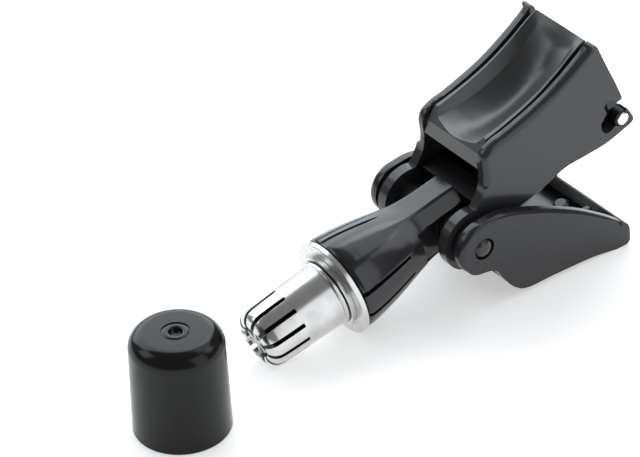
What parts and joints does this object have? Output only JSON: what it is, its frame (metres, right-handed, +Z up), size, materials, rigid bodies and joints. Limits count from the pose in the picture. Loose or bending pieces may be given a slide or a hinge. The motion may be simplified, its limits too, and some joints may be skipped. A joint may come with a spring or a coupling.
{
  "type": "nose hair trimmer",
  "caption": "Squeeze-lever manual nose hair trimmer with a slotted steel rotary cutter, scooped thumb rest and a loose black protective cap.",
  "frame": {"origin": "middle of the whole set's footprint, on the surface it stands on", "axes": "+X forwards along the cutter towards the loose cap, +Y to the trimmer's left side, +Z up"},
  "size_m": [0.103, 0.027, 0.0417],
  "materials": {
    "gloss_black": "moulded gloss black",
    "thumb_black": "moulded semi-gloss black",
    "inner_black": "moulded satin black",
    "cutter_steel": "turned and polished stainless steel",
    "pin_steel": "polished steel",
    "spring_steel": "drawn spring wire",
    "brass": "cut brass",
    "nylon": "natural nylon"
  },
  "bodies": {
    "body": {"side_shell_left": "gloss_black", "side_shell_right": "gloss_black", "thumb_rest": "thumb_black", "rear_pin": "pin_steel", "barrel": "gloss_black", "gear_frame": "inner_black", "collar": "cutter_steel", "outer_cutter": "cutter_steel", "front_bush": "brass", "rear_bush": "brass", "body_screw_1": "pin_steel", "body_screw_2": "pin_steel", "pivot_pin_left": "gloss_black", "pivot_pin_right": "gloss_black"},
    "lever": {"lever": "gloss_black", "sector_gear": "inner_black", "pivot_washer": "inner_black", "return_spring": "spring_steel"},
    "idler": {"drive_pinion": "brass", "crown_gear": "nylon", "gear_arbor": "pin_steel"},
    "cutter_rotor": {"drive_shaft": "pin_steel", "shaft_pinion": "brass", "inner_cutter": "cutter_steel", "cutter_spring": "spring_steel", "retaining_ring": "spring_steel"},
    "cap": {"cap": "gloss_black"}
  },
  "joints": [
    {"name": "lever_squeeze", "type": "hinge", "parent": "body", "child": "lever", "pos_m": [-0.01531, 0, 0.01364], "axis": [0, 1, 0], "range_deg": [0, 26], "stiffness_Nm_per_rad": 0.1, "springref_deg": -17.19},
    {"name": "idler_spin", "type": "hinge", "parent": "body", "child": "idler", "pos_m": [-0.03277, 0, 0.01799], "axis": [0, 1, 0], "range_deg": [-131, 0.5]},
    {"name": "cutter_spin", "type": "hinge", "parent": "body", "child": "cutter_rotor", "pos_m": [-0.01522, 0, 0.01403], "axis": [0.9754, 0, -0.2203], "range_deg": [-0.5, 327]},
    {"name": "cap_lift", "type": "slide", "parent": "body", "child": "cap", "axis": [0, 0, 1], "range_m": [0, 0.03]}
  ],
  "couplings": [
    {"joint": "idler_spin", "follows": "lever_squeeze", "ratio": -5},
    {"joint": "cutter_spin", "follows": "lever_squeeze", "ratio": 12.5}
  ]
}
